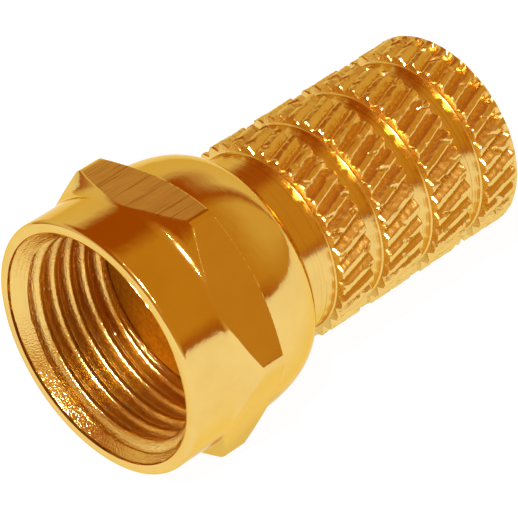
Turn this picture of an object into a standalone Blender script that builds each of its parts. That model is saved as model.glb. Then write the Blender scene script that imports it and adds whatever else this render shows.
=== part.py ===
"""Twist-on coaxial plug with a free-spinning hexagon coupling nut.

The plug lies on one flat of its nut, its axis along world X: the nut's open mouth faces -X and the
cable end faces +X. The world origin is the centre of the bounding box's footprint.

Every sub-part is modelled about its own local Z, the plug's axis, and the empty "plug_axis" turns
that axis onto world X. Local heights are distances in millimetres from the nut's mouth.
"""

import math

import bmesh
import bpy

MM = 0.001

# Whole plug
PLUG_LENGTH = 19.2
TURN_STEPS = 48
THREAD_STEPS = 24
FLARE_STEPS = 3
DOME_STEPS = 7
RUNNING_CLEARANCE = 0.1
SEAT_CLEARANCE = 0.05

# Coupling nut
NUT_LENGTH = 7.32
HEX_ACROSS_FLATS = 11.0
HEX_CORNER_RADIUS = 6.256
HEX_SIDES = 6
HEX_FRONT_FLAT = 2.42
HEX_FRONT_CORNER = 2.96
HEX_REAR_CORNER = 4.0
HEX_REAR_FLAT = 4.41
RING_RADIUS = 5.48
RING_LENGTH = 2.0
RING_EDGE = 0.1
FLARE_BEND = 0.08
FLARE_RISE = 0.02
DOME_SHOULDER = (5.41, 6.6)
DOME_REAR_RADIUS = 4.62
MOUTH_RADIUS = 5.0
MOUTH_DEPTH = 0.62

# Coupling thread, 3/8-32 UNEF right-hand
COUPLING_PITCH = 25.4 / 32.0
COUPLING_MAJOR_RADIUS = 9.525 / 2.0
COUPLING_MINOR_RADIUS = 4.36
COUPLING_THREAD_END = 4.75
COUPLING_TURNS = 7

# Flanged ferrule
FLANGE_FACE = 4.5
FLANGE_THICKNESS = 0.8
FLANGE_RADIUS = COUPLING_MINOR_RADIUS - RUNNING_CLEARANCE
FLANGE_EDGE = 0.1
FERRULE_TUBE_RADIUS = 3.0
FERRULE_HOLE_RADIUS = 2.3
FERRULE_END = 8.5

# Cable sleeve
NECK_START = FLANGE_FACE + FLANGE_THICKNESS + SEAT_CLEARANCE
NECK_RADIUS = 3.886
NECK_EDGE = 0.15
SEAT_BORE_END = 8.8
CABLE_MINOR_RADIUS = 3.15
CABLE_MAJOR_RADIUS = 3.5
CABLE_PITCH = 1.25
CABLE_THREAD_START = 9.2
CABLE_TURNS = 9
CABLE_ENTRY_RADIUS = 3.6
CABLE_ENTRY_DEPTH = 0.5

# Nut retaining lip, which the neck runs in
LIP_FRONT = FLANGE_FACE + FLANGE_THICKNESS + RUNNING_CLEARANCE
LIP_RADIUS = NECK_RADIUS + RUNNING_CLEARANCE

# Knurled bands, each (start, end), with teeth that lean left-handed
KNURL_BANDS = ((9.2, 10.9), (11.8, 13.7), (14.6, 16.5), (17.5, PLUG_LENGTH))
KNURL_RADIUS = 4.352
KNURL_TEETH = 34
KNURL_TWIST = math.radians(-4.75)
KNURL_DEPTH = 0.24
KNURL_EDGE = 0.1

# How far a cutter passes the surface that it cuts, and a thread's cutter stands inside its bore
OVERSHOOT = 0.4
THREAD_OVERSHOOT = 0.08
THREAD_HALF_ANGLE = math.radians(30)

PLATED_BRASS = (0.80, 0.50, 0.16, 1.0)
FERRULE_BRASS = (0.74, 0.47, 0.17, 1.0)


def clear_scene():
    for old in list(bpy.data.objects):
        bpy.data.objects.remove(old, do_unlink=True)


def new_collection(name):
    group = bpy.data.collections.new(name)
    bpy.context.scene.collection.children.link(group)
    return group


def metal(name, colour, roughness):
    """Principled material of a gold-coloured plated metal."""
    material = bpy.data.materials.new(name)
    material.use_nodes = True
    shader = material.node_tree.nodes["Principled BSDF"]
    shader.inputs["Base Color"].default_value = colour
    shader.inputs["Metallic"].default_value = 1.0
    shader.inputs["Roughness"].default_value = roughness
    return material


def add_object(name, mesh, group, axis):
    piece = bpy.data.objects.new(name, mesh)
    piece.parent = axis
    group.objects.link(piece)
    return piece


def mark_as_cutter(piece):
    piece.hide_render = True
    piece.display_type = "WIRE"


def curve_points(start, control, end, count):
    """Points of a quadratic curve from start to end, both included."""
    points = []
    for i in range(count + 1):
        t = i / count
        weights = ((1 - t) ** 2, 2 * t * (1 - t), t * t)
        points.append(tuple(
            weights[0] * start[k] + weights[1] * control[k] + weights[2] * end[k] for k in range(2)))
    return points


def profile_mesh(name, profile, closed):
    """Edge chain in the local XZ plane from (radius, height) points in millimetres."""
    edges = [(i, i + 1) for i in range(len(profile) - 1)]
    if closed:
        edges.append((len(profile) - 1, 0))
    mesh = bpy.data.meshes.new(name)
    mesh.from_pydata([(radius * MM, 0.0, height * MM) for radius, height in profile], edges, [])
    return mesh


def turned(name, profile, group, axis, closed=False):
    """Turned solid: the profile runs down its outer side, and a closed one makes a tube."""
    piece = add_object(name, profile_mesh(name, profile, closed), group, axis)
    screw = piece.modifiers.new("Turn", "SCREW")
    screw.steps = TURN_STEPS
    screw.render_steps = TURN_STEPS
    screw.use_merge_vertices = not closed
    screw.merge_threshold = 0.000001
    screw.use_smooth_shade = False
    return piece


def thread_cutter(name, minor, major, pitch, turns, end, group, axis):
    """Right-hand helical V cutter of a 60 degree internal thread, with its ends closed."""
    crest_width = pitch / 8
    base = minor - THREAD_OVERSHOOT
    base_width = crest_width + 2 * (major - base) * math.tan(THREAD_HALF_ANGLE)
    start = end - turns * pitch
    profile = (
        (major, start + crest_width / 2),
        (major, start - crest_width / 2),
        (base, start - base_width / 2),
        (base, start + base_width / 2))
    sweep = add_object(name, profile_mesh(name, profile, True), group, axis)
    screw = sweep.modifiers.new("Thread", "SCREW")
    screw.steps = THREAD_STEPS
    screw.render_steps = THREAD_STEPS
    screw.iterations = turns
    screw.screw_offset = pitch * MM
    screw.use_merge_vertices = False
    screw.merge_threshold = 0.000001

    bpy.context.view_layer.update()
    swept = bpy.data.meshes.new_from_object(sweep.evaluated_get(bpy.context.evaluated_depsgraph_get()))
    sweep.modifiers.clear()
    shape = bmesh.new()
    shape.from_mesh(swept)
    open_edges = [edge for edge in shape.edges if edge.is_boundary]
    bmesh.ops.holes_fill(shape, edges=open_edges, sides=0)
    bmesh.ops.recalc_face_normals(shape, faces=shape.faces)
    shape.to_mesh(swept)
    shape.free()
    sweep.data = swept
    mark_as_cutter(sweep)
    return sweep


def boolean(piece, operation, tool):
    """Exact Boolean with one object, or with all of a collection."""
    modifier = piece.modifiers.new(operation.title(), "BOOLEAN")
    modifier.operation = operation
    modifier.solver = "EXACT"
    if isinstance(tool, bpy.types.Collection):
        modifier.operand_type = "COLLECTION"
        modifier.collection = tool
    else:
        modifier.object = tool
    return modifier


def knurl_prism(name, start, end, group, axis):
    """Twisted prism with pointed teeth, chamfered at both ends."""
    layers = ((start, KNURL_EDGE), (start + KNURL_EDGE, 0.0), (end - KNURL_EDGE, 0.0), (end, KNURL_EDGE))
    shape = bmesh.new()
    rings = []
    for height, inset in layers:
        ring = []
        for i in range(2 * KNURL_TEETH):
            radius = KNURL_RADIUS - inset - (KNURL_DEPTH if i % 2 else 0.0)
            angle = math.pi * i / KNURL_TEETH + KNURL_TWIST * height
            ring.append(shape.verts.new((
                radius * math.cos(angle) * MM, radius * math.sin(angle) * MM, height * MM)))
        rings.append(ring)
    shape.faces.new(rings[0])
    shape.faces.new(rings[-1])
    for low, high in zip(rings, rings[1:]):
        for i in range(len(low)):
            j = (i + 1) % len(low)
            shape.faces.new((low[i], low[j], high[j], high[i]))
    bmesh.ops.recalc_face_normals(shape, faces=shape.faces)
    mesh = bpy.data.meshes.new(name)
    shape.to_mesh(mesh)
    shape.free()
    prism = add_object(name, mesh, group, axis)
    mark_as_cutter(prism)
    return prism


def make_coupling_nut(parts, cutters, axis, material):
    """Hexagon nut with a round front ring, a domed rear and a lip that holds it on the neck."""
    dome = curve_points(
        (DOME_REAR_RADIUS, NUT_LENGTH), DOME_SHOULDER, (RING_RADIUS, HEX_REAR_FLAT), DOME_STEPS)
    flare = curve_points(
        (HEX_ACROSS_FLATS / 2 + FLARE_RISE, HEX_FRONT_FLAT),
        (RING_RADIUS, HEX_FRONT_FLAT - FLARE_BEND), (RING_RADIUS, RING_LENGTH), FLARE_STEPS)
    outline = [(0.0, NUT_LENGTH)] + dome
    outline += [(HEX_CORNER_RADIUS, HEX_REAR_CORNER), (HEX_CORNER_RADIUS, HEX_FRONT_CORNER)]
    outline += flare
    outline += [(RING_RADIUS, RING_EDGE), (RING_RADIUS - RING_EDGE, 0.0), (0.0, 0.0)]
    nut = turned("coupling_nut", outline, parts, axis)
    nut.data.materials.append(material)

    half_side_angle = math.pi / HEX_SIDES
    prism_radius = HEX_ACROSS_FLATS / 2 / math.cos(half_side_angle)
    hexagon = bmesh.new()
    bmesh.ops.create_cone(
        hexagon, cap_ends=True, segments=HEX_SIDES, radius1=prism_radius * MM,
        radius2=prism_radius * MM, depth=(NUT_LENGTH + 2 * OVERSHOOT) * MM)
    mesh = bpy.data.meshes.new("hexagon")
    hexagon.to_mesh(mesh)
    hexagon.free()
    prism = add_object("hexagon", mesh, cutters, axis)
    prism.location.z = NUT_LENGTH / 2 * MM
    prism.rotation_euler.z = half_side_angle
    mark_as_cutter(prism)

    slope = (MOUTH_RADIUS - COUPLING_MINOR_RADIUS) / MOUTH_DEPTH
    bore = turned("nut_bore", (
        (0.0, NUT_LENGTH + OVERSHOOT),
        (LIP_RADIUS, NUT_LENGTH + OVERSHOOT),
        (LIP_RADIUS, LIP_FRONT),
        (COUPLING_MINOR_RADIUS, LIP_FRONT),
        (COUPLING_MINOR_RADIUS, MOUTH_DEPTH),
        (MOUTH_RADIUS + slope * OVERSHOOT, -OVERSHOOT),
        (0.0, -OVERSHOOT)), cutters, axis)
    mark_as_cutter(bore)
    thread = thread_cutter(
        "coupling_thread", COUPLING_MINOR_RADIUS, COUPLING_MAJOR_RADIUS, COUPLING_PITCH,
        COUPLING_TURNS, COUPLING_THREAD_END, cutters, axis)
    boolean(nut, "INTERSECT", prism)
    boolean(nut, "DIFFERENCE", bore)
    boolean(nut, "DIFFERENCE", thread)
    return nut


def make_flanged_ferrule(parts, axis, material):
    """Ferrule pressed into the sleeve: its flange is the contact face and holds the nut on."""
    flange_rear = FLANGE_FACE + FLANGE_THICKNESS
    outline = (
        (FERRULE_TUBE_RADIUS - FLANGE_EDGE, FERRULE_END),
        (FERRULE_TUBE_RADIUS, FERRULE_END - FLANGE_EDGE),
        (FERRULE_TUBE_RADIUS, flange_rear),
        (FLANGE_RADIUS, flange_rear),
        (FLANGE_RADIUS, FLANGE_FACE + FLANGE_EDGE),
        (FLANGE_RADIUS - FLANGE_EDGE, FLANGE_FACE),
        (FERRULE_HOLE_RADIUS + FLANGE_EDGE, FLANGE_FACE),
        (FERRULE_HOLE_RADIUS, FLANGE_FACE + FLANGE_EDGE),
        (FERRULE_HOLE_RADIUS, FERRULE_END))
    ferrule = turned("flanged_ferrule", outline, parts, axis, closed=True)
    ferrule.data.materials.append(material)
    return ferrule


def make_cable_sleeve(parts, cutters, knurls, axis, material):
    """Sleeve with a plain neck, four knurled bands and a coarse thread that grips the cable."""
    body_end = PLUG_LENGTH - KNURL_EDGE
    sleeve = turned("cable_sleeve", (
        (0.0, body_end),
        (NECK_RADIUS, body_end),
        (NECK_RADIUS, NECK_START + NECK_EDGE),
        (NECK_RADIUS - NECK_EDGE, NECK_START),
        (0.0, NECK_START)), parts, axis)
    sleeve.data.materials.append(material)

    for i, (start, end) in enumerate(KNURL_BANDS, 1):
        knurl_prism(f"knurl_band_{i}", start, end, knurls, axis)
    boolean(sleeve, "UNION", knurls)

    entry_slope = (CABLE_ENTRY_RADIUS - CABLE_MINOR_RADIUS) / CABLE_ENTRY_DEPTH
    bore = turned("sleeve_bore", (
        (0.0, PLUG_LENGTH + OVERSHOOT),
        (CABLE_ENTRY_RADIUS + entry_slope * OVERSHOOT, PLUG_LENGTH + OVERSHOOT),
        (CABLE_MINOR_RADIUS, PLUG_LENGTH - CABLE_ENTRY_DEPTH),
        (CABLE_MINOR_RADIUS, SEAT_BORE_END),
        (FERRULE_TUBE_RADIUS + SEAT_CLEARANCE, SEAT_BORE_END),
        (FERRULE_TUBE_RADIUS + SEAT_CLEARANCE, NECK_START - OVERSHOOT),
        (0.0, NECK_START - OVERSHOOT)), cutters, axis)
    mark_as_cutter(bore)
    thread = thread_cutter(
        "cable_thread", CABLE_MINOR_RADIUS, CABLE_MAJOR_RADIUS, CABLE_PITCH, CABLE_TURNS,
        CABLE_THREAD_START + CABLE_TURNS * CABLE_PITCH, cutters, axis)
    boolean(sleeve, "DIFFERENCE", bore)
    boolean(sleeve, "DIFFERENCE", thread)
    return sleeve


def main():
    clear_scene()
    parts = new_collection("twist_on_coaxial_plug")
    cutters = new_collection("cutters")
    knurls = new_collection("knurls")

    axis = bpy.data.objects.new("plug_axis", None)
    axis.location = (-PLUG_LENGTH / 2 * MM, 0.0, HEX_ACROSS_FLATS / 2 * MM)
    axis.rotation_euler = (math.pi / 2, 0.0, math.pi / 2)
    parts.objects.link(axis)

    plated = metal("plated_brass", PLATED_BRASS, 0.22)
    ferrule_metal = metal("ferrule_brass", FERRULE_BRASS, 0.3)
    make_coupling_nut(parts, cutters, axis, plated)
    make_flanged_ferrule(parts, axis, ferrule_metal)
    make_cable_sleeve(parts, cutters, knurls, axis, plated)


main()
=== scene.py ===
"""The looks of the twist-on coaxial plug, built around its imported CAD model.

Lengths in this script are in millimetres until a mesh or a light is made. A distance called s is
measured along the plug's axis from the nut's mouth, and an angle runs about +X from +Y.
"""

import math

import bmesh
import bpy
import numpy as np
from mathutils import Matrix, Vector, noise


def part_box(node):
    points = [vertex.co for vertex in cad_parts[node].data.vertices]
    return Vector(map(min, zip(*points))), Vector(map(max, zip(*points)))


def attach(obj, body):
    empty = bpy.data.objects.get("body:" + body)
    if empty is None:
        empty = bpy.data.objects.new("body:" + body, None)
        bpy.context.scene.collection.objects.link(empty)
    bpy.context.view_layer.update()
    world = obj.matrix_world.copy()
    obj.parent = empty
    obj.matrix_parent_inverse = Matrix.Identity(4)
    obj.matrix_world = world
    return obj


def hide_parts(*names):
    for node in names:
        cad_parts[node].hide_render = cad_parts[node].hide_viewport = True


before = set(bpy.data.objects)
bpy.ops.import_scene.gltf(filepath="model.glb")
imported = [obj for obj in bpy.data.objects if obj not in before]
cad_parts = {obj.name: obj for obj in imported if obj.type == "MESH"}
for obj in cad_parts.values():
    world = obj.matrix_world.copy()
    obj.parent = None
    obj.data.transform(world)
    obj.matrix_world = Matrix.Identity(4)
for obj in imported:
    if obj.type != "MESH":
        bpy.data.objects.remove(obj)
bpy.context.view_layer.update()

MM = 0.001

# Places and sizes that come from the frame
NUT_LOW, NUT_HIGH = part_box("coupling_nut")
SLEEVE_LOW, SLEEVE_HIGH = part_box("cable_sleeve")
FERRULE_LOW, FERRULE_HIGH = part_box("flanged_ferrule")
MOUTH_X = NUT_LOW[0] / MM
AXIS_Z = (NUT_LOW[2] + NUT_HIGH[2]) / 2 / MM
HEX_APOTHEM = (NUT_HIGH[2] - NUT_LOW[2]) / 2 / MM
HEX_CORNER = (NUT_HIGH[1] - NUT_LOW[1]) / 2 / MM
NUT_END = (NUT_HIGH[0] - NUT_LOW[0]) / MM
SLEEVE_START = SLEEVE_LOW[0] / MM - MOUTH_X
SLEEVE_END = SLEEVE_HIGH[0] / MM - MOUTH_X
KNURL_RADIUS = (SLEEVE_HIGH[2] - SLEEVE_LOW[2]) / 2 / MM
FLANGE_FACE = FERRULE_LOW[0] / MM - MOUTH_X
FERRULE_END = FERRULE_HIGH[0] / MM - MOUTH_X
FLANGE_RADIUS = (FERRULE_HIGH[2] - FERRULE_LOW[2]) / 2 / MM

# Coupling nut, with DOME_SHOULDER and MOUTH_EDGE given as (s, radius) points
RING_RADIUS = 5.48
RING_END = 2.05
FLARE_RADIUS = 0.6
FLARE_ANGLE = 54.0
HEX_FRONT_CORNER = 2.94
HEX_REAR_CORNER = 4.0
HEX_REAR_FLAT = 4.41
HEX_FILLET = 0.04
HEX_FILLET_RISE = 0.15
HEX_RUNOUT = 0.1
RIM_EDGE = 0.2
REAR_EDGE = 0.12
REAR_EDGE_RISE = 0.03
DOME_SHOULDER = (6.6, 5.41)
DOME_REAR_RADIUS = 4.62
LIP_FRONT = 5.4
LIP_RADIUS = 3.986
LIP_EDGE = 0.08
LIP_CHAMFER = 0.05

# The nut's mouth, its coupling thread and the pocket for the ferrule's flange
MOUTH_RADIUS = 5.0
MOUTH_STEP = 0.14
MOUTH_DEPTH = 0.8
MOUTH_EDGE = ((0.02, MOUTH_RADIUS + 0.01), (0.0, MOUTH_RADIUS + 0.05))
TOOL_LINE_DEPTH = 0.006
TOOL_LINE_PITCH = 0.11
TOOL_LINE_RATIO = 1.618
TOOL_LINE_FADE = 0.1
COUPLING_PITCH = 25.4 / 32.0
COUPLING_MINOR = 4.36
COUPLING_MAJOR = 9.525 / 2.0
COUPLING_THREAD_END = 4.75
COUPLING_RUNOUT = 0.6
POCKET_RADIUS = FLANGE_RADIUS + 0.03
POCKET_BLEND = 0.3
POCKET_INSET = 0.02
BORE_BLEND = 0.03

# Flanged ferrule
FLANGE_THICKNESS = 0.8
FERRULE_TUBE = 3.0
FERRULE_HOLE = 2.3
FERRULE_EDGE = 0.05
TUBE_FOOT = 0.03

# Cable sleeve
NECK_RADIUS = 3.886
NECK_EDGE = 0.15
SEAT_RADIUS = 3.05
SEAT_END = 8.8
SEAT_GAP = 0.1
CABLE_MINOR = 3.15
CABLE_MAJOR = 3.5
CABLE_PITCH = 1.25
CABLE_RUNOUT = (0.2, 1.0)
CABLE_ENTRY_RADIUS = 3.6
CABLE_ENTRY_DEPTH = 0.5
CABLE_ENTRY_EDGE = 0.06
CABLE_BLEND = 0.04
KNURL_BANDS = ((9.2, 10.9), (11.8, 13.7), (14.6, 16.5), (17.5, SLEEVE_END))
FOOT_RADIUS = 0.09
EDGE_DROP = 0.06
KNURL_TEETH = 34
KNURL_TWIST = math.radians(-4.75)
KNURL_DEPTH = 0.27
KNURL_GROOVE_WIDTH = 0.7
CROSS_DEPTH = 0.11
CROSS_GROOVE_WIDTH = 0.3
CUT_BLEND = 0.02
BURR = 0.03
BURR_REACH = 0.08

# Rough cutting of the knurl: two noises, and how far they move a cut or change its depth
RAGGED_SIZE = 0.55
RAGGED_SEED = 3.1
FINE_SIZE = 0.2
FINE_SEED = 7.7
MAIN_WANDER = 0.03
CROSS_WANDER = 0.22
CROSS_DEPTH_RANGE = (0.7, 1.6)
FINE_DEPTH = 0.02
# The last band is lower, and its teeth fade out over these distances from the sleeve's end
LAST_BAND_DROP = 0.015
LAST_BAND_FADE = (0.05, 0.2)

# Shares of a pitch that are flat at a thread's crest and at its root
CREST_SHARE = 0.36
ROOT_SHARE = 0.125
CREST_ROUNDING = 0.45
ROOT_ROUNDING = 0.12

# Faces meeting at more than this many degrees keep a sharp edge; points nearer than this are one
SHARP_ANGLE = 38
MERGE_DISTANCE = 0.0005
# How far a face's middle may be from a surface and still get that surface's material
NEAR = 0.02
VERY_NEAR = 0.01
NEAR_BAND = 0.03

# Reflectance of the gold and of the duller ferrule, and the tint at a glancing angle. The
# ferrule's reflectance is darkened and reddened to paint in the shade deep inside the nut's bore
BASE = (0.80, 0.565, 0.185)
FERRULE_SHADED_BASE = (0.52, 0.25, 0.02)
GLANCE = (0.92, 0.74, 0.38)
# How much a scratch darkens the gold
SCRATCH = (0.62, 0.45, 0.25, 1.0)
# How much darker the gold is where its colour is uneven
UNEVEN = (0.88, 0.80, 0.66)

# Noise scales, per millimetre: clouds of colour, grime that dulls, specks, and tool lines
CLOUD_SCALE = 0.55
GRIME_SCALE = 7.0
SPECK_SCALE = 14.0
TURNED_SCALE = 10.0
DRAWN_SCALE = 7.0
# The coarser noise of tool lines: its scale and its height, next to the fine noise's
COARSE_SCALE = 0.22
COARSE_HEIGHT = 0.6
# How little a tool line's noise changes along the line
ALONG = 0.03
# Scratches start where the fine noise passes this, and deepen this fast
SCRATCH_START = 0.55
SCRATCH_GAIN = 8.0
# Only flats that reach within this of the hexagon's top show scratches
SCRATCHED_TOP = 0.05
# Parts of a finish's roughness: the least, what grime adds, and what tool lines add
LEAST_ROUGH = 0.6
GRIME_ROUGH = 0.8
LINE_ROUGH = 0.6
# Height in millimetres of a bump as high as 1
BUMP_HEIGHT = 0.02

# The studio's cards by how many times their light has bounced off gold: more bounces are browner
PALE = 0.5
HONEY = 1
AMBER = 2
BROWN = 4

# The cards round the plug's axis, each with its angle in degrees from the far horizon, over the
# plug, to the near horizon; the light blends evenly from one to the next
CARDS = (
    (0, PALE), (30, PALE), (45, BROWN), (75, BROWN), (90, AMBER), (165, AMBER), (180, BROWN))

# The cards behind the plug, blended in as the direction's X component goes between these limits
BEHIND = (0.6, 0.8)
CARDS_BEHIND = (
    (0, PALE), (60, PALE), (75, BROWN), (90, HONEY), (135, HONEY), (180, AMBER))

# The cards in front of the plug
IN_FRONT = (0.25, -0.25)
CARDS_IN_FRONT = (
    (0, BROWN), (15, PALE), (30, PALE), (45, BROWN), (75, BROWN), (90, AMBER), (165, AMBER),
    (180, HONEY))

# Studio and camera, with the camera's azimuth, elevation and roll in degrees in CAMERA_TURN
FLOOR_SIZE = 4000.0
FLOOR_DEPTH = 0.02
FLOOR_COLOUR = 0.05
FLOOR_GLOW = 0.97
LAMP_DISTANCE = 300.0
CAMERA_SENSOR = 36.0
CAMERA_LENS = 272.4
CAMERA_TURN = (-40.53, 33.64, -7.2)
CAMERA_DISTANCE = 154.3
CAMERA_TARGET = (-0.925, -0.082, 5.135)

# Columns of faces round each surface
NUT_COLUMNS = 600
SLEEVE_COLUMNS = KNURL_TEETH * 14
BORE_COLUMNS = 200
SLEEVE_BORE_COLUMNS = SLEEVE_COLUMNS // 4

# Distances between rings of faces along the axis, and rows of faces across one thread pitch
RING_START = 0.3
RING_STEP = 0.25
CORNER_STEP = 0.03
FLAT_STEP = 0.09
DOME_STEP = 0.11
KNURL_STEP = 0.06
COUPLING_SAMPLES = 22
CABLE_SAMPLES = 14


def arc(centre, radius, start, end, count):
    """(s, radius) points on an arc, with angles in degrees measured from +s towards outwards."""
    points = []
    for i in range(count + 1):
        angle = math.radians(start + (end - start) * i / count)
        points.append((centre[0] + radius * math.cos(angle), centre[1] + radius * math.sin(angle)))
    return points


def curve(start, control, end, count):
    """Points of a quadratic curve from start to end, both included."""
    points = []
    for i in range(count + 1):
        t = i / count
        weights = ((1 - t) ** 2, 2 * t * (1 - t), t * t)
        points.append(tuple(
            weights[0] * start[k] + weights[1] * control[k] + weights[2] * end[k] for k in range(2)))
    return points


def spread(start, end, step):
    """Evenly spaced numbers from start towards end, about step apart, without the end itself."""
    count = max(1, round(abs(end - start) / step))
    return [start + (end - start) * i / count for i in range(count)]


def smooth_step(x, low, high):
    t = np.clip((x - low) / (high - low), 0.0, 1.0)
    return t * t * (3.0 - 2.0 * t)


def smooth_min(a, b, width):
    """The lesser of a and b, rounded where they are within width of each other."""
    width = np.maximum(width, 1e-6)
    overlap = np.maximum(width - np.abs(a - b), 0.0) / width
    return np.minimum(a, b) - overlap * overlap * width * 0.25


def ring_angles(columns):
    return 2.0 * np.pi * np.arange(columns) / columns


def from_flat_middle(angle):
    """Angle from the middle of the nearest of the hexagon's flats."""
    return angle % (math.pi / 3) - math.pi / 6


class Turned:
    """A closed surface made of rings round the plug's axis, each joined to the one before."""

    def __init__(self, columns):
        self.points = []
        self.faces = []
        self.columns = columns
        self.first_ring = None
        self.last_ring = None
        self.lower_edge = None
        self.lower_end = None

    def add_points(self, s, angle, radius):
        """Adds points and returns the first one's number."""
        first = len(self.points)
        self.points.extend(zip(
            (MOUTH_X + s).tolist(),
            (radius * np.cos(angle)).tolist(),
            (AXIS_Z + radius * np.sin(angle)).tolist()))
        return first

    def add_ring(self, s, radius):
        """A ring at s, with one radius or one for each column, joined to the ring before it."""
        s = np.full(self.columns, s)
        radius = np.broadcast_to(radius, self.columns)
        first = self.add_points(s, ring_angles(self.columns), radius)
        ring = list(range(first, first + self.columns))
        if self.first_ring is None:
            self.first_ring = ring
        else:
            self.join(self.last_ring, ring)
        self.last_ring = ring

    def add_profile(self, profile):
        for s, radius in profile:
            self.add_ring(s, radius)

    def join(self, before, after):
        """Faces between two rings, one of which may have a whole multiple of the other's columns."""
        coarse, fine = sorted((before, after), key=len)
        ratio = len(fine) // len(coarse)
        for i in range(len(coarse)):
            side = [fine[(i * ratio + k) % len(fine)] for k in range(ratio + 1)]
            self.faces.append(side + [coarse[(i + 1) % len(coarse)], coarse[i]])

    def add_thread(self, high, low, pitch, samples, radius_at, s_limits):
        """A right-hand helical strip from s = high down to about low, joined to the ring before.

        radius_at(s, share) gives radii, with share the place across one pitch, from 0 to 1. The
        strip's edges are shared by the turns beside them, and s is held within s_limits.
        """
        columns = self.columns
        turns = math.ceil((high - low) / pitch)
        steps = turns * columns
        k, j = np.meshgrid(np.arange(steps + 1), np.arange(samples), indexing="ij")
        k = np.concatenate((k.ravel(), np.arange(steps - columns + 1, steps + 1)))
        j = np.concatenate((j.ravel(), np.full(columns, samples)))
        s = np.clip(high - pitch * (k / columns + j / samples), *s_limits)
        angle = -2.0 * np.pi * k / columns
        first = self.add_points(s, angle, radius_at(s, j / samples))

        def vertex(step, sample):
            if sample < samples:
                return first + step * samples + sample
            if step + columns <= steps:
                return first + (step + columns) * samples
            return first + (steps + 1) * samples + step - (steps - columns) - 1

        for step in range(steps):
            for sample in range(samples):
                self.faces.append((
                    vertex(step, sample), vertex(step, sample + 1),
                    vertex(step + 1, sample + 1), vertex(step + 1, sample)))

        ring = self.last_ring
        for step in range(columns - 1):
            self.faces.append((
                ring[-step], ring[-step - 1], vertex(step + 1, 0), vertex(step, 0)))
        self.faces.append(
            [ring[1], ring[0]] + [vertex(0, sample) for sample in range(samples + 1)]
            + [vertex(columns - 1, 0)])

        self.last_ring = None
        self.lower_edge = [vertex(steps - columns + step, samples) for step in range(columns + 1)]
        self.lower_end = [vertex(steps, sample) for sample in range(1, samples)]

    def add_ring_after_thread(self, s, radius):
        """A ring at s, joined to the lower edge of the thread that was added last."""
        s = np.full(self.columns, s)
        radius = np.full(self.columns, radius)
        first = self.add_points(s, ring_angles(self.columns), radius)
        ring = list(range(first, first + self.columns))
        edge = self.lower_edge
        self.faces.append([edge[0]] + self.lower_end + [edge[-1], ring[0], ring[-1], edge[1]])
        for step in range(1, self.columns):
            self.faces.append((
                edge[step], edge[step + 1], ring[-step - 1], ring[-step]))
        self.last_ring = ring

    def make(self, name, materials, material_of=None):
        """Closes the surface and makes the object; material_of gives each face's material."""
        self.join(self.last_ring, self.first_ring)
        mesh = bpy.data.meshes.new(name)
        mesh.from_pydata((np.array(self.points) * MM).tolist(), [], self.faces)
        shape = bmesh.new()
        shape.from_mesh(mesh)
        bmesh.ops.remove_doubles(shape, verts=shape.verts, dist=MERGE_DISTANCE * MM)
        bmesh.ops.recalc_face_normals(shape, faces=shape.faces)
        shape.to_mesh(mesh)
        shape.free()
        for material in materials:
            mesh.materials.append(material)
        if material_of is not None:
            centres = np.empty(len(mesh.polygons) * 3)
            mesh.polygons.foreach_get("center", centres)
            slots = material_of(centres.reshape(-1, 3) / MM)
            mesh.polygons.foreach_set("material_index", slots.astype(np.int32))
        mesh.shade_smooth()
        mesh.set_sharp_from_angle(angle=math.radians(SHARP_ANGLE))
        piece = bpy.data.objects.new(name, mesh)
        bpy.context.scene.collection.objects.link(piece)
        return piece


def thread_shape(share):
    """Depth of a 60 degree internal thread across one pitch, from 0 at its crest to 1."""
    from_groove = np.abs((share + 0.5) % 1.0 - 0.5) * 2.0
    flank = (1.0 - from_groove - CREST_SHARE) / (1.0 - CREST_SHARE - ROOT_SHARE)
    rounded_crest = -smooth_min(-flank, np.zeros_like(flank), CREST_ROUNDING)
    return smooth_min(rounded_crest, np.ones_like(flank), ROOT_ROUNDING)


def nut_outline(s):
    """Radius of the nut's turned outline, before its flats are cut."""
    flare = arc((RING_END, RING_RADIUS + FLARE_RADIUS), FLARE_RADIUS, -90, FLARE_ANGLE - 90, 12)
    dome = curve((HEX_REAR_FLAT, RING_RADIUS), DOME_SHOULDER, (NUT_END, DOME_REAR_RADIUS), 24)
    outline = [(0.0, RING_RADIUS)] + flare
    outline += [(HEX_FRONT_CORNER, HEX_CORNER), (HEX_REAR_CORNER, HEX_CORNER)] + dome
    return np.interp(s, *zip(*outline))


def nut_radius(s, angle):
    """Radius of the nut's outside: the outline, cut by the six flats."""
    outline = nut_outline(s)
    flat = HEX_APOTHEM / np.cos(from_flat_middle(angle))
    fillet = HEX_FILLET * smooth_step(outline, HEX_APOTHEM, HEX_APOTHEM + HEX_FILLET_RISE)
    return smooth_min(outline, flat, fillet)


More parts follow.
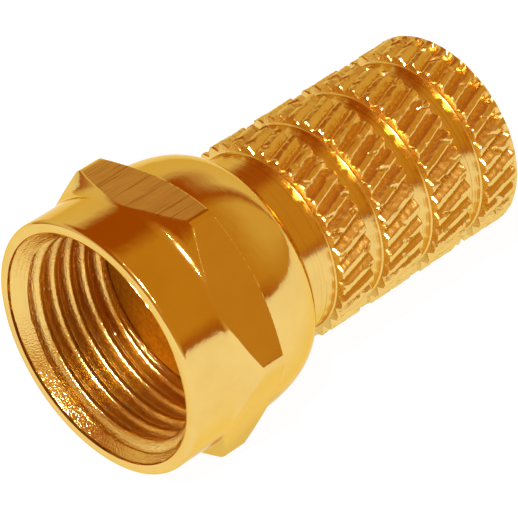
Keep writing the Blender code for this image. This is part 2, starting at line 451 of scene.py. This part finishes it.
def nut_bore_radius(s, share):
    """Radius of the nut's inside: the mouth's cone, the coupling thread and the flange's pocket."""
    depth = (COUPLING_MAJOR - COUPLING_MINOR) * thread_shape(share)
    depth = depth * smooth_step(FLANGE_FACE - s, 0.0, POCKET_BLEND)
    groove_place = s + (share - (share > 0.5)) * COUPLING_PITCH
    fade = smooth_step(COUPLING_THREAD_END - groove_place, 0.0, COUPLING_RUNOUT)
    pocket = smooth_step(s, FLANGE_FACE - POCKET_BLEND, FLANGE_FACE)
    thread = COUPLING_MINOR + depth * fade + (POCKET_RADIUS - COUPLING_MINOR) * pocket

    slope = (MOUTH_RADIUS - COUPLING_MINOR) / (MOUTH_DEPTH - MOUTH_STEP)
    cone = MOUTH_RADIUS - slope * np.maximum(s - MOUTH_STEP, 0.0)
    line_angle = 2 * np.pi * s / TOOL_LINE_PITCH
    tool_lines = np.sin(line_angle) + np.sin(line_angle * TOOL_LINE_RATIO)
    tool_fade = smooth_step(s, MOUTH_STEP, MOUTH_STEP + TOOL_LINE_FADE)
    cone = cone + TOOL_LINE_DEPTH * tool_lines * tool_fade
    return -smooth_min(-cone, -thread, BORE_BLEND)


def nut_material(centres):
    """Material numbers of the nut's faces: 0 for turned, 1 for the flats and 2 for the bore."""
    x, y, z = centres.T
    s = x - MOUTH_X
    radius = np.hypot(y, z - AXIS_Z)
    across = np.cos(from_flat_middle(np.arctan2(z - AXIS_Z, y)))
    on_flat = (radius * across > HEX_APOTHEM - NEAR) & (s > RING_END)
    on_flat &= s < HEX_REAR_FLAT + HEX_RUNOUT
    on_flat &= nut_outline(s) > HEX_APOTHEM / across - VERY_NEAR
    in_bore = (radius < MOUTH_RADIUS - VERY_NEAR) & (s < LIP_FRONT)
    return np.where(on_flat, 1, np.where(in_bore, 2, 0))


def make_nut(turned_finish, drawn_finish, bore_finish):
    shell = Turned(NUT_COLUMNS)
    shell.add_profile(MOUTH_EDGE)
    shell.add_profile(arc((RIM_EDGE, RING_RADIUS - RIM_EDGE), RIM_EDGE, 180, 90, 10))
    rows = spread(RING_START, RING_END, RING_STEP)
    rows += spread(RING_END, HEX_FRONT_CORNER, CORNER_STEP)
    rows += spread(HEX_FRONT_CORNER, HEX_REAR_CORNER, FLAT_STEP)
    rows += spread(HEX_REAR_CORNER, HEX_REAR_FLAT + HEX_RUNOUT, CORNER_STEP)
    rows += spread(HEX_REAR_FLAT + HEX_RUNOUT, NUT_END - REAR_EDGE, DOME_STEP)
    for s in rows:
        shell.add_ring(s, nut_radius(s, ring_angles(NUT_COLUMNS)))
    rear_edge = (NUT_END - REAR_EDGE, DOME_REAR_RADIUS + REAR_EDGE_RISE - REAR_EDGE)
    shell.add_profile(arc(rear_edge, REAR_EDGE, 60, 0, 5))

    shell.columns = BORE_COLUMNS
    shell.add_profile(arc((NUT_END - LIP_EDGE, LIP_RADIUS + LIP_EDGE), LIP_EDGE, 360, 270, 4))
    shell.add_ring(LIP_FRONT + LIP_CHAMFER, LIP_RADIUS)
    shell.add_ring(LIP_FRONT, LIP_RADIUS + LIP_CHAMFER)
    shell.add_ring(LIP_FRONT, FLANGE_RADIUS - POCKET_INSET)
    shell.add_ring(LIP_FRONT - LIP_CHAMFER, POCKET_RADIUS)
    shell.add_thread(
        COUPLING_THREAD_END + COUPLING_PITCH, 0.0, COUPLING_PITCH, COUPLING_SAMPLES,
        nut_bore_radius, (0.0, LIP_FRONT - 2 * LIP_CHAMFER))
    shell.add_ring_after_thread(0.0, MOUTH_RADIUS)
    finishes = (turned_finish, drawn_finish, bore_finish)
    return shell.make("coupling_nut_fine", finishes, nut_material)


def make_ferrule(finish):
    """The flange, its hole and the tube that is pressed into the sleeve."""
    shell = Turned(BORE_COLUMNS)
    edge = FERRULE_EDGE
    rear = FLANGE_FACE + FLANGE_THICKNESS
    shell.add_ring(FLANGE_FACE, FERRULE_HOLE + edge)
    shell.add_profile(arc((FLANGE_FACE + edge, FLANGE_RADIUS - edge), edge, 180, 90, 6))
    shell.add_profile(arc((rear - edge / 2, FLANGE_RADIUS - edge / 2), edge / 2, 90, 0, 4))
    shell.add_ring(rear, FERRULE_TUBE + TUBE_FOOT)
    shell.add_ring(rear + TUBE_FOOT, FERRULE_TUBE)
    shell.add_profile(arc((FERRULE_END - edge, FERRULE_TUBE - edge), edge, 90, 0, 4))
    shell.add_ring(FERRULE_END, FERRULE_HOLE + edge)
    shell.add_ring(FERRULE_END - edge, FERRULE_HOLE)
    shell.add_profile(arc((FLANGE_FACE + edge, FERRULE_HOLE + edge), edge, 270, 190, 5))
    return shell.make("flanged_ferrule_fine", (finish,))


def groove(place, width):
    """A V groove at the middle of each unit of place, 1 at its bottom and 0 outside its width."""
    from_middle = np.abs(place % 1.0 - 0.5) * 2.0
    return np.maximum(0.0, 1.0 - from_middle / width)


def wander(s, angle, size, seed):
    """Smooth noise on the sleeve's surface from -1 to 1, with features of about size across."""
    values = np.empty(len(angle))
    for i, turn in enumerate(angle):
        place = Vector((s, KNURL_RADIUS * math.cos(turn), KNURL_RADIUS * math.sin(turn))) / size
        values[i] = noise.noise(place + Vector((seed, seed, seed)))
    return values


def knurl_radius(s, angle, start, end):
    """Radius of one knurled band: long slanting teeth, crossed by a shallower, rougher cut."""
    ragged = wander(s, angle, RAGGED_SIZE, RAGGED_SEED)
    fine = wander(s, angle, FINE_SIZE, FINE_SEED)
    teeth_per_radian = KNURL_TEETH / (2 * math.pi)
    main_place = (angle - KNURL_TWIST * s) * teeth_per_radian + MAIN_WANDER * ragged
    cross_place = (angle + KNURL_TWIST * s) * teeth_per_radian + CROSS_WANDER * ragged
    main_cut = KNURL_DEPTH * groove(main_place, KNURL_GROOVE_WIDTH)
    cross_depth = CROSS_DEPTH * (CROSS_DEPTH_RANGE[0] + CROSS_DEPTH_RANGE[1] * ragged)
    cross_cut = cross_depth * groove(cross_place, CROSS_GROOVE_WIDTH)
    cut = -smooth_min(-main_cut, -cross_cut, CUT_BLEND) + FINE_DEPTH * fine
    if end == SLEEVE_END:
        cut = cut * smooth_step(end - s, *LAST_BAND_FADE) + LAST_BAND_DROP
    from_edge = min(s - start, end - s)
    burr = BURR * (math.exp(-(from_edge / BURR_REACH) ** 2) * (0.5 + fine) - 1.0)
    edge_drop = EDGE_DROP * max(0.0, 1.0 - from_edge / EDGE_DROP)
    return KNURL_RADIUS - np.maximum(cut, 0.0) + np.minimum(burr, 0.0) - edge_drop


def sleeve_bore_radius(s, share):
    """Radius of the sleeve's inside: the thread for the cable's jacket and the entry's cone."""
    depth = (CABLE_MAJOR - CABLE_MINOR) * thread_shape(share)
    thread = CABLE_MINOR + depth * smooth_step(s - SEAT_END, *CABLE_RUNOUT)
    slope = (CABLE_ENTRY_RADIUS - CABLE_MINOR) / CABLE_ENTRY_DEPTH
    cone = CABLE_ENTRY_RADIUS - slope * (SLEEVE_END - s)
    return -smooth_min(-cone, -thread, CABLE_BLEND)


def sleeve_material(centres):
    """Material numbers of the sleeve's faces: 0 for turned, 1 for knurled and 2 for the bore."""
    x, y, z = centres.T
    s = x - MOUTH_X
    radius = np.hypot(y, z - AXIS_Z)
    on_knurl = np.zeros(len(s), bool)
    for start, end in KNURL_BANDS:
        on_knurl |= (s > start - NEAR_BAND) & (s < end + NEAR_BAND) & (radius > NECK_RADIUS + NEAR)
    in_bore = radius < CABLE_ENTRY_RADIUS + NEAR
    return np.where(on_knurl, 1, np.where(in_bore, 2, 0))


def make_sleeve(finish, knurl_finish, bore_finish):
    shell = Turned(SLEEVE_COLUMNS)
    shell.add_ring(SLEEVE_START, NECK_RADIUS - NECK_EDGE)
    shell.add_ring(SLEEVE_START + NECK_EDGE, NECK_RADIUS)
    foot_radius = NECK_RADIUS + FOOT_RADIUS
    for start, end in KNURL_BANDS:
        shell.add_profile(arc((start - FOOT_RADIUS, foot_radius), FOOT_RADIUS, -90, -8, 5))
        for s in spread(start, end, KNURL_STEP) + [end]:
            shell.add_ring(s, knurl_radius(s, ring_angles(SLEEVE_COLUMNS), start, end))
        if end < SLEEVE_END:
            shell.add_profile(arc((end + FOOT_RADIUS, foot_radius), FOOT_RADIUS, 188, 270, 5))
    shell.add_ring(SLEEVE_END, NECK_RADIUS)

    shell.columns = SLEEVE_BORE_COLUMNS
    shell.add_ring(SLEEVE_END, CABLE_ENTRY_RADIUS + CABLE_ENTRY_EDGE)
    shell.add_thread(
        SLEEVE_END + CABLE_PITCH, SEAT_END + SEAT_GAP, CABLE_PITCH, CABLE_SAMPLES,
        sleeve_bore_radius, (SEAT_END + SEAT_GAP, SLEEVE_END))
    shell.add_ring_after_thread(SEAT_END, CABLE_MINOR)
    shell.add_ring(SEAT_END, SEAT_RADIUS)
    shell.add_ring(SLEEVE_START, SEAT_RADIUS)
    finishes = (finish, knurl_finish, bore_finish)
    return shell.make("cable_sleeve_fine", finishes, sleeve_material)


def add_node(tree, kind, **inputs):
    """A shader node with some of its inputs set or linked; a socket is linked, a value is set.

    An input is named with _ for a space, or as _0, _1 and so on for its number.
    """
    node = tree.nodes.new("ShaderNode" + kind)
    for name, value in inputs.items():
        number = name[1:]
        socket = node.inputs[int(number) if number.isdigit() else name.replace("_", " ")]
        if isinstance(value, bpy.types.NodeSocket):
            tree.links.new(value, socket)
        else:
            socket.default_value = value
    return node


def math_node(tree, operation, first, second=0.0, third=0.0, clamp=False):
    node = add_node(tree, "Math", _0=first, _1=second, _2=third)
    node.operation = operation
    node.use_clamp = clamp
    return node.outputs[0]


def noise_node(tree, place, scale, detail, roughness=0.5):
    node = add_node(
        tree, "TexNoise", Vector=place, Scale=scale, Detail=detail, Roughness=roughness)
    return node.outputs["Fac"]


def mix_node(tree, factor, first, second, blend="MIX"):
    """A mix of two colours, each a socket or (r, g, b, 1)."""
    node = add_node(tree, "Mix")
    node.data_type = "RGBA"
    node.blend_type = blend
    for number, value in ((0, factor), (6, first), (7, second)):
        if isinstance(value, bpy.types.NodeSocket):
            tree.links.new(value, node.inputs[number])
        else:
            node.inputs[number].default_value = value
    return node.outputs[2]


def ramp(tree, factor, steps):
    """A colour ramp through (position, colour) steps."""
    node = add_node(tree, "ValToRGB", Fac=factor)
    elements = node.color_ramp.elements
    while len(elements) > 1:
        elements.remove(elements[-1])
    elements[0].position, elements[0].color = steps[0][0], (*steps[0][1], 1.0)
    for position, colour in steps[1:]:
        elements.new(position).color = (*colour, 1.0)
    return node.outputs["Color"]


def millimetres(tree):
    """Object coordinates in millimetres, as a vector and as x, y and height over the axis."""
    place = tree.nodes.new("ShaderNodeTexCoord").outputs["Object"]
    scaled = add_node(tree, "VectorMath", _0=place, _3=1.0 / MM)
    scaled.operation = "SCALE"
    x, y, z = add_node(tree, "SeparateXYZ", _0=scaled.outputs[0]).outputs
    return scaled.outputs[0], x, y, math_node(tree, "SUBTRACT", z, AXIS_Z)


def tool_marks(tree, kind, x, y, height):
    """Fine lines that a tool leaves, "turned" round the axis or "drawn" along it.

    The first result is their height and the second, from 0 to 1, is where they are scratches.
    """
    if kind == "turned":
        height_squared = math_node(tree, "MULTIPLY", height, height)
        radius = math_node(tree, "SQRT", math_node(tree, "MULTIPLY_ADD", y, y, height_squared))
        angle = math_node(tree, "ARCTAN2", height, y)
        along = math_node(tree, "MULTIPLY", angle, ALONG)
        place = add_node(tree, "CombineXYZ", X=x, Y=radius, Z=along).outputs[0]
        scale = TURNED_SCALE
    else:
        along = math_node(tree, "MULTIPLY", x, ALONG)
        place = add_node(tree, "CombineXYZ", X=along, Y=y, Z=height).outputs[0]
        scale = DRAWN_SCALE
    fine = noise_node(tree, place, scale, 3.0, 0.65)
    coarse = noise_node(tree, place, scale * COARSE_SCALE, 2.0)
    both = math_node(tree, "MULTIPLY_ADD", coarse, COARSE_HEIGHT, fine)
    over_start = math_node(tree, "SUBTRACT", fine, SCRATCH_START)
    scratch = math_node(tree, "MULTIPLY", over_start, SCRATCH_GAIN, clamp=True)
    return both, scratch


def gold(name, base, roughness, kind, lines, grain, waves, scratches):
    """Plated metal: uneven colour and gloss, and fine lines from turning or drawing.

    lines, grain and waves are the strengths of the bumps from tool lines, specks and clouds, and
    scratches is how much the scratches darken the colour.
    """
    material = bpy.data.materials.new(name)
    material.use_nodes = True
    tree = material.node_tree
    shader = tree.nodes["Principled BSDF"]
    place, x, y, height = millimetres(tree)
    line, scratch = tool_marks(tree, kind, x, y, height)
    cloud = noise_node(tree, place, CLOUD_SCALE, 3.0, 0.6)
    grime = noise_node(tree, place, GRIME_SCALE, 2.0)
    speck = noise_node(tree, place, SPECK_SCALE, 1.0)

    if kind == "drawn":
        on_top = math_node(tree, "GREATER_THAN", height, HEX_APOTHEM - SCRATCHED_TOP)
        scratch = math_node(tree, "MULTIPLY", scratch, on_top)
    scratch = math_node(tree, "MULTIPLY", scratch, scratches)
    darker = tuple(channel * factor for channel, factor in zip(base, UNEVEN))
    colour = mix_node(tree, cloud, (*darker, 1.0), (*base, 1.0))
    colour = mix_node(tree, scratch, colour, SCRATCH, "MULTIPLY")
    tree.links.new(colour, shader.inputs["Base Color"])

    rough = math_node(
        tree, "MULTIPLY_ADD", grime, roughness * GRIME_ROUGH, roughness * LEAST_ROUGH)
    rough = math_node(tree, "MULTIPLY_ADD", line, roughness * lines * LINE_ROUGH, rough)
    tree.links.new(rough, shader.inputs["Roughness"])
    shader.inputs["Metallic"].default_value = 1.0
    shader.inputs["Specular Tint"].default_value = (*GLANCE, 1.0)

    bumps = math_node(tree, "MULTIPLY", line, lines)
    bumps = math_node(tree, "MULTIPLY_ADD", speck, grain, bumps)
    bumps = math_node(tree, "MULTIPLY_ADD", cloud, waves, bumps)
    bump = add_node(tree, "Bump", Strength=1.0, Distance=BUMP_HEIGHT * MM, Height=bumps)
    tree.links.new(bump.outputs[0], shader.inputs["Normal"])
    return material


def card_light(tree, share, cards):
    """The light from cards, with share the angle round the axis from 0 to 1."""
    stops = []
    for degrees, bounces in cards:
        colour = [channel ** bounces for channel in BASE]
        stops.append((degrees / 180, colour))
    return ramp(tree, share, stops)


def make_world():
    """Studio surroundings that differ by direction, white where the camera sees them directly."""
    world = bpy.data.worlds.new("studio")
    world.use_nodes = True
    bpy.context.scene.world = world
    tree = world.node_tree
    tree.nodes.clear()
    direction = tree.nodes.new("ShaderNodeTexCoord").outputs["Generated"]
    x, y, z = add_node(tree, "SeparateXYZ", _0=direction).outputs
    around = math_node(tree, "ARCTAN2", z, y)
    share = math_node(tree, "DIVIDE", around, math.pi, clamp=True)
    surroundings = card_light(tree, share, CARDS)
    for limits, others in ((BEHIND, CARDS_BEHIND), (IN_FRONT, CARDS_IN_FRONT)):
        amount = add_node(tree, "MapRange", Value=x, From_Min=limits[0], From_Max=limits[1])
        other = card_light(tree, share, others)
        surroundings = mix_node(tree, amount.outputs[0], surroundings, other)
    seen = tree.nodes.new("ShaderNodeBackground")
    seen.inputs["Color"].default_value = (1.0, 1.0, 1.0, 1.0)
    lit = add_node(tree, "Background", Color=surroundings, Strength=1.0)
    choose = add_node(
        tree, "MixShader", _0=tree.nodes.new("ShaderNodeLightPath").outputs["Is Camera Ray"],
        _1=lit.outputs[0], _2=seen.outputs[0])
    output = tree.nodes.new("ShaderNodeOutputWorld")
    tree.links.new(choose.outputs[0], output.inputs["Surface"])


def make_floor():
    """A pale floor that glows a little, so that the metal reflects it as white."""
    bpy.ops.mesh.primitive_plane_add(size=FLOOR_SIZE * MM, location=(0.0, 0.0, -FLOOR_DEPTH * MM))
    floor = bpy.context.object
    floor.name = "floor"
    material = bpy.data.materials.new("pale_floor")
    material.use_nodes = True
    shader = material.node_tree.nodes["Principled BSDF"]
    shader.inputs["Base Color"].default_value = (FLOOR_COLOUR, FLOOR_COLOUR, FLOOR_COLOUR, 1.0)
    shader.inputs["Roughness"].default_value = 0.9
    shader.inputs["Specular IOR Level"].default_value = 0.0
    shader.inputs["Emission Color"].default_value = (1.0, 1.0, 1.0, 1.0)
    shader.inputs["Emission Strength"].default_value = FLOOR_GLOW
    floor.data.materials.append(material)


def add_lamp(name, direction, size, power):
    """A soft lamp LAMP_DISTANCE away in a direction, facing the plug."""
    data = bpy.data.lights.new(name, "AREA")
    data.shape = "RECTANGLE"
    data.size, data.size_y = size[0] * MM, size[1] * MM
    data.energy = power
    lamp = bpy.data.objects.new(name, data)
    towards = Vector(direction).normalized()
    lamp.location = towards * LAMP_DISTANCE * MM + Vector((0.0, 0.0, AXIS_Z * MM))
    lamp.rotation_euler = towards.to_track_quat("Z", "Y").to_euler()
    bpy.context.scene.collection.objects.link(lamp)


def make_camera():
    """A long lens, looking down at the mouth end from the left."""
    data = bpy.data.cameras.new("camera")
    data.sensor_width = CAMERA_SENSOR
    data.lens = CAMERA_LENS
    data.clip_start = 0.001
    camera = bpy.data.objects.new("camera", data)
    azimuth, elevation, roll = (math.radians(angle) for angle in CAMERA_TURN)
    back = Vector((
        math.sin(azimuth) * math.cos(elevation), -math.cos(azimuth) * math.cos(elevation),
        math.sin(elevation)))
    camera.location = (Vector(CAMERA_TARGET) + back * CAMERA_DISTANCE) * MM
    turn = back.to_track_quat("Z", "Y").to_matrix() @ Matrix.Rotation(roll, 3, "Z")
    camera.rotation_euler = turn.to_euler()
    bpy.context.scene.collection.objects.link(camera)
    bpy.context.scene.camera = camera


make_world()
make_floor()
make_camera()
add_lamp("key_lamp", (-0.44, -0.37, 0.82), size=(22.0, 22.0), power=3.4)
add_lamp("near_lamp", (-0.44, -0.578, 0.689), size=(9.0, 9.0), power=0.08)
add_lamp("far_lamp", (-0.44, -0.08, 0.895), size=(8.0, 8.0), power=0.012)

turned_gold = gold(
    "turned_gold", BASE, roughness=0.085, kind="turned",
    lines=0.12, grain=0.02, waves=1.0, scratches=0.0)
drawn_gold = gold(
    "drawn_gold", BASE, roughness=0.16, kind="drawn",
    lines=0.12, grain=0.04, waves=0.4, scratches=0.8)
bore_gold = gold(
    "bore_gold", BASE, roughness=0.14, kind="turned",
    lines=0.4, grain=1.2, waves=0.5, scratches=0.2)
neck_gold = gold(
    "neck_gold", BASE, roughness=0.11, kind="turned",
    lines=0.7, grain=0.0, waves=0.8, scratches=0.5)
knurl_gold = gold(
    "knurl_gold", BASE, roughness=0.2, kind="drawn",
    lines=0.3, grain=0.3, waves=0.0, scratches=0.0)
# The ferrule's darker, redder colour is painted shade, for the flange deep inside the nut's bore
ferrule_painted_shade_gold = gold(
    "ferrule_painted_shade_gold", FERRULE_SHADED_BASE, roughness=0.8, kind="turned",
    lines=0.1, grain=0.02, waves=0.5, scratches=0.0)

nut = make_nut(turned_gold, drawn_gold, bore_gold)
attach(nut, "nut")
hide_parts("coupling_nut")

ferrule = make_ferrule(ferrule_painted_shade_gold)
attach(ferrule, "barrel")
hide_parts("flanged_ferrule")

sleeve = make_sleeve(neck_gold, knurl_gold, bore_gold)
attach(sleeve, "barrel")
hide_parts("cable_sleeve")

bpy.context.scene.view_settings.view_transform = "Standard"
bpy.context.scene.cycles.max_bounces = 16
bpy.context.scene.cycles.glossy_bounces = 16
